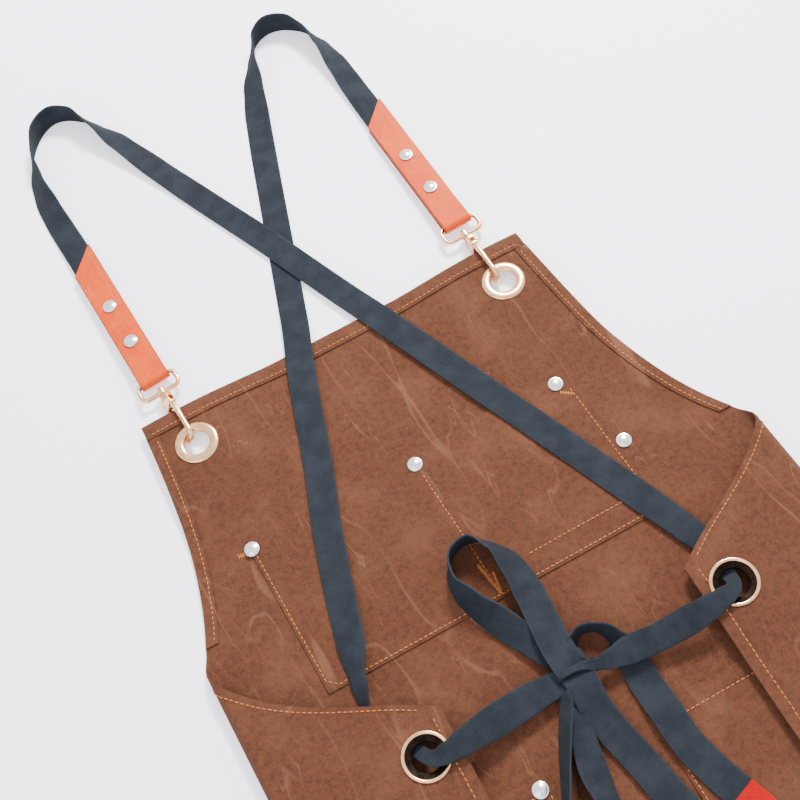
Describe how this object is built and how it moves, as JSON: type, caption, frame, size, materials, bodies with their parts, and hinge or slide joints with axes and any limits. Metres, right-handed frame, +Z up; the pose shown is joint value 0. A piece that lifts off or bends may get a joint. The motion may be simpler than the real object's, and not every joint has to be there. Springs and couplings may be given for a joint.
{
  "type": "butcher apron",
  "caption": "Canvas cross-back apron laid flat, side wings folded in, webbing straps with snap hooks on bib eyelets and a waist bow.",
  "frame": {"origin": "middle of the base of everything but the free webbing, on the surface the apron lies on", "axes": "+X to the wearer's left as the apron lies face up, +Y along the apron towards the bib, +Z up from the surface"},
  "size_m": [0.3912, 1.0607, 0.0242],
  "materials": {
    "canvas": "washed waxed canvas, matt",
    "webbing": "woven cotton webbing, matt",
    "red_tip": "matt",
    "leather": "satin smooth leather",
    "silver": "polished",
    "steel": "satin",
    "eyelet_metal": "polished pale gold",
    "clasp_metal": "polished rose gold"
  },
  "bodies": {
    "apron": {"bib_left_eyelet": "eyelet_metal", "bib_left_washer": "eyelet_metal", "bib_right_eyelet": "eyelet_metal", "bib_right_washer": "eyelet_metal", "waist_left_eyelet": "eyelet_metal", "waist_left_washer": "eyelet_metal", "waist_right_eyelet": "eyelet_metal", "waist_right_washer": "eyelet_metal", "apron_panel": "canvas", "top_hem": "canvas", "armhole_hem_left": "canvas", "armhole_hem_right": "canvas", "chest_pocket": "canvas", "lower_pocket_left": "canvas", "lower_pocket_right": "canvas", "chest_rivet_left": "silver", "chest_rivet_middle": "silver", "chest_rivet_right": "silver", "lower_rivet_left_inner": "silver", "lower_rivet_right_inner": "silver", "lower_rivet_left_outer": "silver", "lower_rivet_right_outer": "silver", "side_rivet": "silver", "bow_loop_upper": "webbing", "bow_loop_lower": "webbing", "tie_tail_right": "webbing", "tie_tail_left": "webbing", "tie_tip_right": "red_tip", "tie_tip_left": "red_tip", "bow_knot": "webbing", "leather_tab_left": "leather", "tab_rivet_left_1": "silver", "tab_rivet_left_2": "silver", "strap_left": "webbing", "leather_tab_right": "leather", "tab_rivet_right_1": "silver", "tab_rivet_right_2": "silver", "strap_right": "webbing"},
    "ring_body_left": {"ring_left": "clasp_metal"},
    "hook_body_left": {"hook_left": "clasp_metal", "swivel_stud_left": "clasp_metal", "gate_pin_left": "steel", "gate_spring_left": "steel"},
    "gate_body_left": {"gate_left": "clasp_metal"},
    "ring_body_right": {"ring_right": "clasp_metal"},
    "hook_body_right": {"hook_right": "clasp_metal", "swivel_stud_right": "clasp_metal", "gate_pin_right": "steel", "gate_spring_right": "steel"},
    "gate_body_right": {"gate_right": "clasp_metal"}
  },
  "joints": [
    {"name": "ring_pivot_left", "type": "hinge", "parent": "apron", "child": "ring_body_left", "pos_m": [-0.14483, 0.32675, 0.00754], "axis": [0.9965, 0.0837, 0], "range_deg": [-0.2, 0.4]},
    {"name": "swivel_left", "type": "hinge", "parent": "ring_body_left", "child": "hook_body_left", "pos_m": [-0.14374, 0.31379, 0.00754], "axis": [-0.0837, 0.9965, 0], "range_deg": [-55, 2]},
    {"name": "gate_hinge_left", "type": "hinge", "parent": "hook_body_left", "child": "gate_body_left", "pos_m": [-0.14502, 0.3034, 0.00381], "axis": [-0.863, -0.0725, 0.5], "range_deg": [0, 5], "stiffness_Nm_per_rad": 0.002, "springref_deg": -5.73},
    {"name": "ring_pivot_right", "type": "hinge", "parent": "apron", "child": "ring_body_right", "pos_m": [0.10031, 0.32678, 0.00754], "axis": [0.9994, 0.0349, 0], "range_deg": [-0.5, 0.4]},
    {"name": "swivel_right", "type": "hinge", "parent": "ring_body_right", "child": "hook_body_right", "pos_m": [0.10076, 0.31379, 0.00754], "axis": [-0.0349, 0.9994, 0], "range_deg": [-30, 18]},
    {"name": "gate_hinge_right", "type": "hinge", "parent": "hook_body_right", "child": "gate_body_right", "pos_m": [0.10082, 0.30354, 0.00325], "axis": [-0.997, -0.0348, 0.0698], "range_deg": [0, 5], "stiffness_Nm_per_rad": 0.002, "springref_deg": -5.73}
  ]
}
